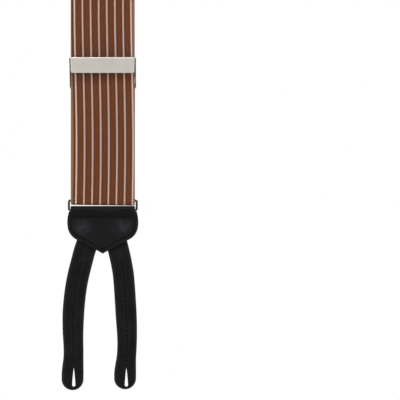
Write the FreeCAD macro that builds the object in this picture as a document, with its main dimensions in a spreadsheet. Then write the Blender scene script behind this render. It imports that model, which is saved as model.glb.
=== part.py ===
"""Button-on braces with a Y back, hanging as they are worn: two front straps go over the
shoulders into a leather crosspatch, one rear strap goes down from it, and each of the three
ends carries a wire ring, a leather crown and two leather button loops. Millimetres, +Z up.

The origin is the centre of the crosspatch's inner face. The wearer faces -Y, so the front
straps are on the -Y side and the wearer's left is +X.
"""

import FreeCAD, Part
import math
import os

import Sketcher
from FreeCAD import Placement, Rotation, Vector

SIZES = {
    # webbing and leather
    "webbing_width": 35.0,
    "webbing_thick": 1.3,
    "leather_thick": 1.3,
    "lining_gap": 0.05,
    # the way over the shoulders
    "strap_offset": 95.0,
    "shoulder_radius": 61.0,
    "splay_angle": 20.0,
    "meeting_offset": 6.0,
    "layer_step": 1.4,
    "ring_level": -160.0,
    # wire ring
    "wire_diameter": 1.2,
    "ring_width": 38.3,
    "bar_spacing": 5.2,
    "wrap_radius": 0.8,
    "corner_radius": 0.8,
    # lever adjuster, measured from the ring's upper bar
    "pin_height": 76.8,
    "pin_diameter": 1.4,
    "pin_depth": 4.3,
    "pin_head": 0.25,
    "eye_clearance": 0.01,
    "bore_clearance": 0.06,
    "barrel_radius": 1.5,
    "lever_width": 34.8,
    "lever_drop": 7.1,
    "lever_thick": 0.8,
    "tooth_reach": 2.1,
    "tooth_pitch": 2.6,
    "tooth_root": 1.2,
    "tooth_tip": 0.2,
    "arm_gap": 35.2,
    "arm_thick": 0.5,
    "arm_radius": 1.3,
    "foot_height": 62.9,
    "foot_depth": 3.15,
    "foot_diameter": 1.6,
    "plate_bottom": 67.4,
    "plate_rise": 6.8,
    "plate_thick": 0.9,
    "tail_gap": 0.25,
    "tail_length": 14.0,
    "upper_seam": 4.5,
    "lower_seam": 8.5,
    # crown, measured from the ring's upper bar
    "crown_half": 19.3,
    "crown_side": 14.0,
    "crown_haunch_x": 13.9,
    "crown_haunch": 21.6,
    "crown_tip": 29.1,
    "crown_swell_x": 1.1,
    "crown_swell_z": 0.7,
    "crown_ogee": 0.2,
    "roll_clearance": 0.3,
    "notch_drop": 0.6,
    "flap_drop": 12.7,
    "flap_gap": 0.2,
    "field_top": 7.6,
    "stitch_inset": 2.0,
    # button loops
    "tongue_top": 18.0,
    "tongue_thick": 1.4,
    "loop_start_x": 8.9,
    "loop_start": 25.5,
    "loop_body": 29.4,
    "loop_straight": 64.0,
    "loop_neck": 84.0,
    "loop_bottom": 103.6,
    "loop_width": 11.6,
    "neck_width": 10.6,
    "bulb_radius": 6.0,
    "bulb_shoulder": 1.4,
    "loop_thick": 2.8,
    "inner_foot_x": 16.2,
    "outer_foot_x": 12.6,
    "slot_top": 91.6,
    "slot_bottom": 101.8,
    "slot_radius": 0.9,
    # crosspatch, measured from its centre
    "patch_half": 41.0,
    "patch_shoulder": 28.0,
    "patch_peak": 43.0,
    "patch_waist": 23.0,
    "patch_foot": 30.0,
    "patch_tip": 40.0,
    "patch_roof": 0.8,
    "patch_hollow_x": 2.5,
    "patch_hollow_z": 4.0,
    "patch_ogee": 0.3,
    "patch_inset": 3.0,
    # rear strap
    "rear_top": -7.0,
    "rear_tail_start": 9.0,
    "rear_tail": 26.0,
    "rear_low_seam": 13.0,
    "rear_high_seam": 21.0,
    # thread
    "stitch_length": 1.7,
    "stitch_pitch": 2.3,
    "stitch_width": 0.5,
    "stitch_proud": 0.3,
}

doc = FreeCAD.newDocument("braces")
sheet = doc.addObject("Spreadsheet::Sheet", "Sizes")
for row, (alias, number) in enumerate(SIZES.items(), start=1):
    sheet.set(f"A{row}", alias)
    sheet.set(f"B{row}", str(number))
    sheet.setAlias(f"B{row}", alias)
doc.recompute()

nodes = []


def size(alias):
    return float(sheet.get(alias))


def bind(thing, **expressions):
    """Binds properties to the sheet; a double underscore in a name stands for a dot."""
    for name, expression in expressions.items():
        thing.setExpression(name.replace("__", "."), expression)


def mm(expression):
    """A length in millimetres, from an expression of the sheet's aliases."""
    words = expression.replace("(", " ( ").replace(")", " ) ").split()
    return "(" + " ".join(f"Sizes.{word}" if word in SIZES else word for word in words) + ") * 1 mm"


# ---------------------------------------------------------------- sketches and features


def origin_plane(body, role):
    return next(item for item in body.Origin.OriginFeatures if item.Role == role)


def new_sketch(body, name, role, offset="0"):
    """A sketch on one of the body's own planes, moved along the plane's normal."""
    sketch = body.newObject("Sketcher::SketchObject", name)
    sketch.AttachmentSupport = [(origin_plane(body, role), "")]
    sketch.MapMode = "FlatFace"
    bind(sketch, AttachmentOffset__Base__z=mm(offset))
    return sketch


def name_constraint(sketch, constraint, name, expression):
    index = sketch.addConstraint(constraint)
    sketch.renameConstraint(index, name)
    sketch.setExpression(f"Constraints.{name}", mm(expression))


def rectangle(sketch, low_x, high_x, low_y, high_y):
    """A rectangle whose four sides are expressions of the sheet's aliases."""
    corners = [Vector(-1, -1, 0), Vector(1, -1, 0), Vector(1, 1, 0), Vector(-1, 1, 0)]
    first = sketch.GeometryCount
    for start, end in zip(corners, corners[1:] + corners[:1]):
        sketch.addGeometry(Part.LineSegment(start, end), False)
    for side in range(4):
        after = first + (side + 1) % 4
        sketch.addConstraint(Sketcher.Constraint("Coincident", first + side, 2, after, 1))
    for side, kind in enumerate(("Horizontal", "Vertical", "Horizontal", "Vertical")):
        sketch.addConstraint(Sketcher.Constraint(kind, first + side))
    limits = [
        ("DistanceX", 1, low_x, f"low_x_{first}"),
        ("DistanceX", 2, high_x, f"high_x_{first}"),
        ("DistanceY", 1, low_y, f"low_y_{first}"),
        ("DistanceY", 3, high_y, f"high_y_{first}"),
    ]
    for kind, corner, expression, name in limits:
        vertex = {1: (first, 1), 2: (first, 2), 3: (first + 2, 1)}[corner]
        drawn_at = -1.0 if name.startswith("low") else 1.0
        constraint = Sketcher.Constraint(kind, -1, 1, *vertex, drawn_at)
        name_constraint(sketch, constraint, name, expression)


def circle(sketch, centre_x, centre_y, radius):
    """A circle whose centre and radius are expressions of the sheet's aliases."""
    index = sketch.addGeometry(Part.Circle(Vector(0.5, 0.5, 0), Vector(0, 0, 1), 1), False)
    for kind, expression in (("DistanceX", centre_x), ("DistanceY", centre_y)):
        constraint = Sketcher.Constraint(kind, -1, 1, index, 3, 0.5)
        name_constraint(sketch, constraint, f"{kind}_{index}", expression)
    name_constraint(sketch, Sketcher.Constraint("Radius", index, 1.0), f"radius_{index}", radius)


def outline(sketch, start, *steps):
    """A closed outline: each step is (end,) for a line or (middle, end) for an arc."""
    here = Vector(*start)
    for step in steps:
        there = Vector(*step[-1])
        if len(step) == 1:
            sketch.addGeometry(Part.LineSegment(here, there), False)
        else:
            sketch.addGeometry(Part.Arc(here, Vector(*step[0]), there), False)
        here = there


def pad(body, sketch, name, length, symmetric=False):
    feature = body.newObject("PartDesign::Pad", name)
    feature.Profile = sketch
    feature.SideType = "Symmetric" if symmetric else "One side"
    bind(feature, Length=mm(length))
    sketch.Visibility = False
    return feature


def pocket_through(body, sketch, name):
    feature = body.newObject("PartDesign::Pocket", name)
    feature.Profile = sketch
    feature.Type = "ThroughAll"
    feature.SideType = "Symmetric"
    sketch.Visibility = False
    return feature


def mirror_in_x(body, feature):
    """Mirrors a feature in the body's own YZ plane, and makes that the body's result."""
    mirrored = body.newObject("PartDesign::Mirrored", f"{feature.Name}_mirrored")
    mirrored.Originals = [feature]
    mirrored.MirrorPlane = (origin_plane(body, "YZ_Plane"), [""])
    body.Tip = mirrored
    return mirrored


def new_body(label):
    body = doc.addObject("PartDesign::Body", label)
    body.Label = label
    nodes.append(body)
    return body


def new_shape(label, shape):
    """A sub-part whose shape comes from the sheet's values; its place is set afterwards."""
    feature = doc.addObject("Part::Feature", label)
    feature.Label = label
    feature.Shape = shape
    nodes.append(feature)
    return feature


# ---------------------------------------------------------------- places worked out once

half_thick = size("webbing_thick") / 2
half_width = size("webbing_width") / 2
lane = size("wrap_radius") + half_thick  # from a bar's axis to the middle of what wraps it
splay = math.radians(size("splay_angle"))

middle_layer = size("leather_thick") + size("lining_gap") + half_thick + size("layer_step") / 2
front_plane = middle_layer - 2 * size("shoulder_radius")
turn_radius = math.pi * size("shoulder_radius") / math.sin(splay)
turn_shift = turn_radius * (1 - math.cos(splay))
back_shift = size("strap_offset") - size("meeting_offset") - turn_shift
shoulder_level = back_shift / math.tan(splay)

LANE = "wrap_radius + webbing_thick / 2"
MIDDLE_LAYER = "leather_thick + lining_gap + webbing_thick / 2 + layer_step / 2"
FRONT_BAR = f"{MIDDLE_LAYER} - 2 * shoulder_radius + {LANE}"
REAR_BAR = f"{MIDDLE_LAYER} - ( {LANE} )"

ENDS = {
    # name: side of the wearer, depth of the ring's bar, turn about Z
    "left": (1, FRONT_BAR, 0),
    "right": (-1, FRONT_BAR, 0),
    "rear": (0, REAR_BAR, 180),
}


def hang(thing, end):
    """Puts a piece modelled about a ring's upper bar, with -Y outwards, where that end hangs."""
    side, depth, turn = ENDS[end]
    thing.Placement = Placement(Vector(), Rotation(Vector(0, 0, 1), turn))
    bind(
        thing,
        Placement__Base__x=mm(f"{side} * strap_offset"),
        Placement__Base__y=mm(depth),
        Placement__Base__z=mm("ring_level"),
    )
    return thing


# ---------------------------------------------------------------- straps over the shoulders


def strap_point(side, layer, across, along, lift):
    """A point of a front strap: its flat place (across, along), rolled over the shoulder."""
    radius = (layer - front_plane) / 2
    angle = min(max(along / radius, 0), math.pi)
    straight = along if along < 0 else max(along - math.pi * radius, 0)
    rise = (radius + lift) * math.sin(angle) + (straight if along < 0 else -straight)
    depth = front_plane + radius - (radius + lift) * math.cos(angle)
    return Vector(side * across, depth, shoulder_level + rise)


def strap_section(side, layer, across, along, heading):
    """The webbing's rectangular section, square to its run."""
    corners = []
    for half, lift in ((-1, -1), (1, -1), (1, 1), (-1, 1)):
        corner_across = across + half * half_width * math.cos(heading)
        corner_along = along + half * half_width * math.sin(heading)
        corners.append(strap_point(side, layer, corner_across, corner_along, lift * half_thick))
    return Part.makePolygon(corners + corners[:1])


def make_strap(name, side, layer, stations=24):
    """From the front of the shoulder over it, down the back and into the crosspatch."""
    radius = (layer - front_plane) / 2
    turn = math.pi * radius / math.sin(splay)
    sections = []
    for station in range(stations + 1):
        heading = splay * station / stations
        across = size("strap_offset") - turn * (1 - math.cos(heading))
        sections.append(strap_section(side, layer, across, turn * math.sin(heading), heading))
    bend_end = size("strap_offset") - turn * (1 - math.cos(splay))
    for run in (half_width * math.tan(splay), shoulder_level / math.cos(splay)):
        across = bend_end - run * math.sin(splay)
        along = math.pi * radius + run * math.cos(splay)
        sections.append(strap_section(side, layer, across, along, splay))
    new_shape(f"{name}_strap", Part.makeLoft(sections, True, True))


# ---------------------------------------------------------------- the adjustable front run


def make_lower_webbing(end):
    """The front run, its fold round the ring and the return run to the adjuster's foot bar."""
    body = new_body(f"{end}_lower_webbing")
    sketch = new_sketch(body, f"{end}_lower_webbing_run", "YZ_Plane")
    top = shoulder_level - size("ring_level")
    foot_y, foot_z = size("foot_depth"), size("foot_height")
    tail_lane = size("foot_diameter") / 2 + size("tail_gap") + half_thick
    tail_end = foot_z - size("tail_length")
    outer, inner = lane + half_thick, lane - half_thick
    near, far = tail_lane - half_thick, tail_lane + half_thick
    outline(
        sketch,
        (-outer, top),
        ((-outer, 0),),
        ((0, -outer), (outer, 0)),
        ((outer, foot_z),),
        ((foot_y, foot_z + near), (foot_y + near, foot_z)),
        ((foot_y + near, tail_end),),
        ((foot_y + far, tail_end),),
        ((foot_y + far, foot_z),),
        ((foot_y, foot_z + far), (inner, foot_z)),
        ((inner, 0),),
        ((0, -inner), (-inner, 0)),
        ((-inner, top),),
        ((-outer, top),),
    )
    pad(body, sketch, f"{end}_lower_webbing_width", "webbing_width", symmetric=True)
    hang(body, end)


def stitch_row(middle, outward, count=13):
    """A level row of stitches that lie on the webbing, as boxes."""
    across, pitch = Vector(1, 0, 0), size("stitch_pitch")
    centres = [middle + across * (pitch * (index - (count - 1) / 2)) for index in range(count)]
    return [stitch(centre, across, size("stitch_length"), outward) for centre in centres]


def stitch(centre, direction, long, outward):
    """One stitch: a box on the surface through centre, which faces outward."""
    wide, proud = size("stitch_width"), size("stitch_proud")
    box = Part.makeBox(long, wide, proud, Vector(-long / 2, -wide / 2, 0))
    side = outward.cross(direction)
    turn = Rotation(direction, side, outward, "ZXY")
    box.Placement = Placement(centre, turn)
    return box


def make_end_stitching(end):
    """Sews the webbing's tail to its return run, under the adjuster's foot bar."""
    tail_lane = size("foot_diameter") / 2 + size("tail_gap") + half_thick
    back = size("foot_depth") + tail_lane + half_thick
    stitches = []
    for drop in (size("upper_seam"), size("lower_seam")):
        middle = Vector(0, back, size("foot_height") - drop)
        stitches += stitch_row(middle, Vector(0, 1, 0))
    hang(new_shape(f"{end}_end_stitching", Part.Compound(stitches)), end)


# ---------------------------------------------------------------- lever adjuster


def make_adjuster_frame(end):
    """Two side arms, the back plate between the runs and the foot bar behind the return run."""
    body = new_body(f"{end}_adjuster_frame")
    bar = new_sketch(body, f"{end}_foot_bar_section", "YZ_Plane")
    circle(bar, "foot_depth", "foot_height", "foot_diameter / 2")
    pad(body, bar, f"{end}_foot_bar", "arm_gap + arm_thick", symmetric=True)

    pin = Vector(-size("pin_depth"), size("pin_height"))
    foot = Vector(size("foot_depth"), size("foot_height"))
    run = (foot - pin).normalize() * size("arm_radius")
    side = Vector(-run.y, run.x)
    arm = new_sketch(body, f"{end}_arm_outline", "YZ_Plane", "arm_gap / 2")
    outline(
        arm,
        pin + side,
        (foot + side,),
        (foot + run, foot - side),
        (pin - side,),
        (pin - run, pin + side),
    )
    arm_pad = pad(body, arm, f"{end}_arm", "arm_thick")
    mirror_in_x(body, arm_pad)

    plate = new_sketch(body, f"{end}_back_plate_outline", "XZ_Plane")
    reach = "arm_gap / 2 + arm_thick / 2"
    rectangle(plate, f"-1 * ( {reach} )", reach, "plate_bottom", "plate_bottom + plate_rise")
    pad(body, plate, f"{end}_back_plate", "plate_thick", symmetric=True)

    eyes = new_sketch(body, f"{end}_eyes_section", "YZ_Plane")
    circle(eyes, "-1 * pin_depth", "pin_height", "pin_diameter / 2 + eye_clearance")
    body.Tip = pocket_through(body, eyes, f"{end}_eyes")
    hang(body, end)


def make_adjuster_pin(end):
    """The lever's hinge pin, riveted in the two arms."""
    pin = doc.addObject("Part::Cylinder", f"{end}_adjuster_pin")
    pin.Label = pin.Name
    length = "( arm_gap + 2 * arm_thick + 2 * pin_head )"
    side, depth, _ = ENDS[end]
    pin.Placement = Placement(Vector(), Rotation(Vector(0, 1, 0), 90))
    bind(
        pin,
        Radius=mm("pin_diameter / 2"),
        Height=mm(length),
        Placement__Base__x=mm(f"{side} * strap_offset - {length} / 2"),
        Placement__Base__y=mm(f"{depth} - pin_depth"),
        Placement__Base__z=mm("ring_level + pin_height"),
    )
    nodes.append(pin)


def make_adjuster_lever(end, teeth=13):
    """The front plate, hung from a barrel round the pin, with teeth that bite the webbing."""
    body = new_body(f"{end}_adjuster_lever")
    barrel = new_sketch(body, f"{end}_barrel_section", "YZ_Plane")
    circle(barrel, "-1 * pin_depth", "pin_height", "barrel_radius")
    pad(body, barrel, f"{end}_barrel", "lever_width", symmetric=True)

    plate = new_sketch(body, f"{end}_plate_section", "YZ_Plane")
    front = "-1 * pin_depth - barrel_radius"
    rectangle(plate, front, f"{front} + lever_thick", "pin_height - lever_drop", "pin_height")
    pad(body, plate, f"{end}_plate", "lever_width", symmetric=True)

    bore = new_sketch(body, f"{end}_bore_section", "YZ_Plane")
    circle(bore, "-1 * pin_depth", "pin_height", "pin_diameter / 2 + bore_clearance")
    pocket_through(body, bore, f"{end}_bore")

    first = f"-1 * ( tooth_pitch * {teeth - 1} / 2 ) - tooth_root / 2"
    tooth = new_sketch(body, f"{end}_tooth_outline", "YZ_Plane", first)
    centre = Vector(-size("pin_depth"), size("pin_height"))
    half_root, half_tip = size("tooth_root") / 2, size("tooth_tip") / 2
    reach = size("tooth_reach")
    buried = math.sqrt(size("barrel_radius") ** 2 - half_root**2) - half_tip
    outline(
        tooth,
        centre + Vector(buried, half_root),
        (centre + Vector(reach, half_tip),),
        (centre + Vector(reach, -half_tip),),
        (centre + Vector(buried, -half_root),),
        (centre + Vector(buried, half_root),),
    )
    tooth_pad = pad(body, tooth, f"{end}_tooth", "tooth_root")
    row = body.newObject("PartDesign::LinearPattern", f"{end}_teeth")
    row.Originals = [tooth_pad]
    row.Direction = (tooth, ["N_Axis"])
    row.Occurrences = teeth
    bind(row, Length=mm(f"tooth_pitch * {teeth - 1}"))
    body.Tip = row
    hang(body, end)


# ---------------------------------------------------------------- ring, crown and loops


def make_ring(end):
    """A closed wire loop: its upper bar is in the webbing, its lower bar in the crown."""
    body = new_body(f"{end}_ring")
    path = new_sketch(body, f"{end}_ring_path", "XZ_Plane")
    half = (size("ring_width") - size("wire_diameter")) / 2
    low, corner = -size("bar_spacing"), size("corner_radius")
    bevel = corner * (1 - math.sqrt(0.5))
    outline(
        path,
        (0, 0),
        ((half - corner, 0),),
        ((half - bevel, -bevel), (half, -corner)),
        ((half, low + corner),),
        ((half - bevel, low + bevel), (half - corner, low)),
        ((corner - half, low),),
        ((bevel - half, low + bevel), (-half, low + corner)),
        ((-half, -corner),),
        ((bevel - half, -bevel), (corner - half, 0)),
        ((0, 0),),
    )
    wire = new_sketch(body, f"{end}_ring_wire", "YZ_Plane")
    circle(wire, "0", "0", "wire_diameter / 2")
    pipe = body.newObject("PartDesign::AdditivePipe", f"{end}_ring_pipe")
    pipe.Profile = wire
    pipe.Spine = path
    path.Visibility = False
    wire.Visibility = False
    hang(body, end)


def crown_outline(sketch, top):
    """The shield that the crown is cut to, from a level top edge down to its tip."""
    half, side, tip = size("crown_half"), -size("crown_side"), -size("crown_tip")
    haunch_x, haunch = size("crown_haunch_x"), -size("crown_haunch")
    swell = Vector(
        (half + haunch_x) / 2 + size("crown_swell_x"), (side + haunch) / 2 - size("crown_swell_z")
    )
    ogee = Vector(haunch_x / 2, (haunch + tip) / 2 + size("crown_ogee"))
    outline(
        sketch,
        (-half, top),
        ((half, top),),
        ((half, side),),
        (swell, (haunch_x, haunch)),
        (ogee, (0, tip)),
        (Vector(-ogee.x, ogee.y), (-haunch_x, haunch)),
        (Vector(-swell.x, swell.y), (-half, side)),
        ((-half, top),),
    )


def make_crown_face(end):
    """The leather front panel, rolled over the ring's lower bar to a short flap behind.

    The roll fits between the ring's side wires. The panel and the flap are wider, and are
    notched down below the bar so that they clear the wires as the crown swings.
    """
    body = new_body(f"{end}_crown_face")
    panel = new_sketch(body, f"{end}_crown_outline", "XZ_Plane", "wrap_radius")
    crown_outline(panel, -size("bar_spacing") - size("notch_drop"))
    pad(body, panel, f"{end}_crown_panel", "leather_thick")

    roll = new_sketch(body, f"{end}_crown_roll_section", "YZ_Plane")
    inner = size("wrap_radius")
    outer = inner + size("leather_thick")
    bar = -size("bar_spacing")
    notch = bar - size("notch_drop")
    outline(
        roll,
        (-outer, notch),
        ((-outer, bar),),
        ((0, bar + outer), (outer, bar)),
        ((outer, notch),),
        ((inner, notch),),
        ((inner, bar),),
        ((0, bar + inner), (-inner, bar)),
        ((-inner, notch),),
        ((-outer, notch),),
    )
    between_wires = "ring_width - 2 * wire_diameter - 2 * roll_clearance"
    pad(body, roll, f"{end}_crown_roll", between_wires, symmetric=True)

    behind = "-1 * ( wrap_radius + leather_thick )"
    flap = new_sketch(body, f"{end}_crown_flap_outline", "XZ_Plane", behind)
    notched = "-1 * ( bar_spacing + notch_drop )"
    rectangle(flap, "-1 * crown_half", "crown_half", "-1 * flap_drop", notched)
    pad(body, flap, f"{end}_crown_flap", "leather_thick")
    hang(body, end)


def make_crown_lining(end):
    """The leather back panel, from under the flap's edge down to the tip."""
    body = new_body(f"{end}_crown_lining")
    behind = "-1 * ( wrap_radius + leather_thick )"
    panel = new_sketch(body, f"{end}_lining_outline", "XZ_Plane", behind)
    crown_outline(panel, -size("flap_drop") - size("flap_gap"))
    pad(body, panel, f"{end}_lining_panel", "leather_thick")
    hang(body, end)


def seam(sketch, inset, pitch):
    """Places and directions along a line that runs inset inside a sketch's closed outline."""
    wire = Part.Wire(Part.__sortEdges__([item.toShape() for item in sketch.Geometry]))
    inside = wire.makeOffset2D(-inset)
    count = round(inside.Length / pitch)
    points = inside.discretize(Number=count + 1)
    for start, end in zip(points, points[1:]):
        yield (start + end) / 2, (end - start).normalize()


def make_crown_stitching(end):
    """The thread round the crown's field, seen on its face and on its back."""
    body = doc.getObject(f"{end}_crown_face")
    guide = body.newObject("Sketcher::SketchObject", f"{end}_stitch_guide")
    crown_outline(guide, -size("field_top"))
    surface = size("wrap_radius") + size("leather_thick")
    stitches = []
    for place, direction in seam(guide, size("stitch_inset"), size("stitch_pitch")):
        run = Vector(direction.x, 0, direction.y)
        for depth in (-surface, surface):
            centre = Vector(place.x, depth, place.y)
            outward = Vector(0, math.copysign(1, depth), 0)
            stitches.append(stitch(centre, run, size("stitch_length"), outward))
    body.removeObject(guide)
    doc.removeObject(guide.Name)
    hang(new_shape(f"{end}_crown_stitching", Part.Compound(stitches)), end)


def make_button_loop(end, name, side, foot_alias):
    """A strip of leather doubled into two strands, open at its foot for a trouser button."""
    label = f"{end}_{name}_loop"
    body = new_body(label)
    start, foot = side * size("loop_start_x"), side * size(foot_alias)
    straight, neck = -size("loop_straight"), -size("loop_neck")
    shift, drop = abs(foot - start), size("loop_straight") - size("loop_start")
    bend = (shift**2 + drop**2) / (2 * shift)
    turn = math.asin((size("loop_straight") - size("loop_body")) / bend)
    half, slim = size("loop_width") / 2, size("neck_width") / 2
    bulb, bottom = size("bulb_radius"), -size("loop_bottom")
    bulb_top = bottom + bulb + size("bulb_shoulder")
    centre = Vector(foot - side * bend, straight)

    def on_bend(offset, angle):
        radius = bend + offset
        return centre + Vector(side * radius * math.cos(angle), radius * math.sin(angle))

    top = math.asin((size("loop_straight") - size("tongue_top")) / bend)
    tongue = new_sketch(body, f"{label}_tongue_outline", "XZ_Plane")
    outline(
        tongue,
        on_bend(half, top),
        (on_bend(half, top / 2), on_bend(half, 0)),
        (on_bend(-half, 0),),
        (on_bend(-half, top / 2), on_bend(-half, top)),
        (on_bend(half, top),),
    )
    pad(body, tongue, f"{label}_tongue", "tongue_thick", symmetric=True)

    strands = new_sketch(body, f"{label}_outline", "XZ_Plane")
    outline(
        strands,
        on_bend(half, turn),
        (on_bend(half, turn / 2), on_bend(half, 0)),
        ((foot + side * slim, neck),),
        ((foot + side * bulb, bulb_top),),
        ((foot, bottom), (foot - side * bulb, bulb_top)),
        ((foot - side * slim, neck),),
        (on_bend(-half, 0),),
        (on_bend(-half, turn / 2), on_bend(-half, turn)),
        (on_bend(half, turn),),
    )
    pad(body, strands, f"{label}_strands", "loop_thick", symmetric=True)

    slot_low, wide = -size("slot_bottom"), size("slot_radius")
    slot = new_sketch(body, f"{label}_slot_outline", "XZ_Plane")
    outline(
        slot,
        (foot, -size("slot_top")),
        ((foot + wide, slot_low + wide),),
        ((foot, slot_low), (foot - wide, slot_low + wide)),
        ((foot, -size("slot_top")),),
    )
    body.Tip = pocket_through(body, slot, f"{label}_slot")
    hang(body, end)


def make_runner(end, loops):
    """The leather end: ring, crown and two button loops."""
    make_ring(end)
    make_crown_face(end)
    make_crown_lining(end)
    make_crown_stitching(end)
    for name, side, foot_alias in loops:
        make_button_loop(end, name, side, foot_alias)


# ---------------------------------------------------------------- the back


def patch_outline(sketch):
    """The crosspatch: a peaked top over the two straps, and a pointed foot over the rear one."""
    half, shoulder, peak = size("patch_half"), size("patch_shoulder"), size("patch_peak")
    waist, foot, tip = size("patch_waist"), -size("patch_foot"), -size("patch_tip")
    roof = Vector(half / 2, (shoulder + peak) / 2 - size("patch_roof"))
    side = Vector(
        (half + waist) / 2 + size("patch_hollow_x"), (shoulder + foot) / 2 - size("patch_hollow_z")
    )
    ogee = Vector(waist / 2, (foot + tip) / 2 + size("patch_ogee"))
    outline(
        sketch,
        (0, peak),
        (roof, (half, shoulder)),
        (side, (waist, foot)),
        (ogee, (0, tip)),
        (Vector(-ogee.x, ogee.y), (-waist, foot)),
        (Vector(-side.x, side.y), (-half, shoulder)),
        (Vector(-roof.x, roof.y), (0, peak)),
    )


def make_patch(name, back):
    """One leather of the crosspatch, whose outer side is at the depth of an expression."""
    body = new_body(f"crosspatch_{name}")
    sketch = new_sketch(body, f"crosspatch_{name}_outline", "XZ_Plane", f"-1 * ( {back} )")
    patch_outline(sketch)
    pad(body, sketch, f"crosspatch_{name}_panel", "leather_thick")


def make_crosspatch():
    """Two leathers with the three straps' ends between them, sewn round the edge."""
    make_patch("lining", "leather_thick")
    make_patch("face", "2 * ( leather_thick + lining_gap ) + layer_step + webbing_thick")
    face_outline = doc.getObject("crosspatch_face_outline")
    straps = size("layer_step") + size("webbing_thick")
    surface = 2 * (size("leather_thick") + size("lining_gap")) + straps
    stitches = []
    for place, direction in seam(face_outline, size("patch_inset"), size("stitch_pitch")):
        run = Vector(direction.x, 0, direction.y)
        centre = Vector(place.x, surface, place.y)
        stitches.append(stitch(centre, run, size("stitch_length"), Vector(0, 1, 0)))
    new_shape("crosspatch_stitching", Part.Compound(stitches))


def make_rear_strap():
    """The rear strap, folded round its ring's upper bar, its tail sewn up behind it."""
    body = new_body("rear_strap")
    sketch = new_sketch(body, "rear_strap_run", "YZ_Plane")
    top = size("rear_top") - size("ring_level")
    outer, inner = lane + half_thick, lane - half_thick
    tail = -lane + size("webbing_thick") + size("lining_gap")
    tail_start, tail_end = size("rear_tail_start"), size("rear_tail")
    outline(
        sketch,
        (-outer, top),
        ((-outer, 0),),
        ((0, -outer), (outer, 0)),
        ((tail + half_thick, tail_start),),
        ((tail + half_thick, tail_end),),
        ((tail - half_thick, tail_end),),
        ((tail - half_thick, tail_start),),
        ((inner, 0),),
        ((0, -inner), (-inner, 0)),
        ((-inner, top),),
        ((-outer, top),),
    )
    pad(body, sketch, "rear_strap_width", "webbing_width", symmetric=True)
    hang(body, "rear")

    stitches = []
    for height in (size("rear_low_seam"), size("rear_high_seam")):
        for depth, outward in ((-outer, -1), (tail + half_thick, 1)):
            stitches += stitch_row(Vector(0, depth, height), Vector(0, outward, 0))
    hang(new_shape("rear_strap_stitching", Part.Compound(stitches)), "rear")


# ---------------------------------------------------------------- the whole


def make_front(end):
    side = ENDS[end][0]
    layer = middle_layer - side * size("layer_step") / 2
    make_strap(end, side, layer)
    make_lower_webbing(end)
    make_end_stitching(end)
    make_adjuster_frame(end)
    make_adjuster_pin(end)
    make_adjuster_lever(end)
    make_runner(end, [("inner", -side, "inner_foot_x"), ("outer", side, "outer_foot_x")])


for front_end in ("left", "right"):
    make_front(front_end)
make_crosspatch()
make_rear_strap()
make_runner("rear", [("left", 1, "outer_foot_x"), ("right", -1, "outer_foot_x")])
doc.recompute()

for item in doc.Objects:
    if "Invalid" in item.State or "Error" in item.State:
        raise RuntimeError(f"{item.Name} did not compute: {item.State}")
for node in nodes:
    if node.Shape.isNull() or not node.Shape.isValid():
        raise RuntimeError(f"{node.Label} has no valid shape")

os.makedirs("parts", exist_ok=True)
for node in nodes:
    node.Shape.exportStep(f"parts/{node.Label}.step")
print(f"{len(nodes)} parts, shoulder level {shoulder_level:.1f}, front plane {front_plane:.2f}")
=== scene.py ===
"""Button-on braces: striped elastic webbing, nickel lever adjusters and black leather ends.

Lengths are millimetres, and become metres in build(). An end is worked out in its own frame: the
origin is the middle of its ring's upper bar, x runs across the strap, -y is outwards from the
wearer and z is up.
"""

import math
from functools import partial

import bmesh
import bpy
import numpy as np
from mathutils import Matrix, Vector, noise


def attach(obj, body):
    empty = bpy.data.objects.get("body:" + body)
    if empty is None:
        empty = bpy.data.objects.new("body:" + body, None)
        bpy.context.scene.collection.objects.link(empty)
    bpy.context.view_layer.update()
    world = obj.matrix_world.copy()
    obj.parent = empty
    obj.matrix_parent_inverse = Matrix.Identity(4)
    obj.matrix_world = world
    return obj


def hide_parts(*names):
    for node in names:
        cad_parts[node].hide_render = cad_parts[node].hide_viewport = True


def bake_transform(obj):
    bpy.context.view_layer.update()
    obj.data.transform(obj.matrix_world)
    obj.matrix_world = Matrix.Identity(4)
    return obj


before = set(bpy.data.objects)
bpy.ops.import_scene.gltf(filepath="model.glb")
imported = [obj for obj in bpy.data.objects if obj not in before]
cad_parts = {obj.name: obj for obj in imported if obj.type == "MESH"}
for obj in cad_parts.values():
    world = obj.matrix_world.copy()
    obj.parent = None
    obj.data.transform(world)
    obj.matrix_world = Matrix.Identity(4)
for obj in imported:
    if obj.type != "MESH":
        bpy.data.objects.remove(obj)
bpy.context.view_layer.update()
MM = 0.001

# ---------------------------------------------------------------- sizes, as in the CAD design

WEBBING_WIDTH, WEBBING_THICK, LEATHER_THICK = 35.0, 1.3, 1.3
HALF_THICK = WEBBING_THICK / 2
STRAP_OFFSET, MEETING_OFFSET, SPLAY = 95.0, 6.0, math.radians(20)
SHOULDER_RADIUS = 61.0
MIDDLE_LAYER, LAYER_STEP = 2.7, 1.4
RING_LEVEL, BAR_SPACING = -160.0, 5.2
WRAP_RADIUS = 0.8
LANE = WRAP_RADIUS + HALF_THICK  # from a ring's bar to the middle of the webbing round it
FRONT_PLANE = MIDDLE_LAYER - 2 * SHOULDER_RADIUS
FRONT_BAR, REAR_BAR = FRONT_PLANE + LANE, MIDDLE_LAYER - LANE
TURN = math.pi * SHOULDER_RADIUS / math.sin(SPLAY)
SHOULDER_LEVEL = (
    STRAP_OFFSET - MEETING_OFFSET - TURN * (1 - math.cos(SPLAY))
) / math.tan(SPLAY)
FRONT_DROP = SHOULDER_LEVEL - RING_LEVEL
REAR_TOP = -7.0
REAR_DROP = REAR_TOP - RING_LEVEL
REAR_SLANT, REAR_GATHER, REAR_TAIL = 9.0, 1.55, 17.0  # the end closes up, then lies sewn flat
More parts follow.
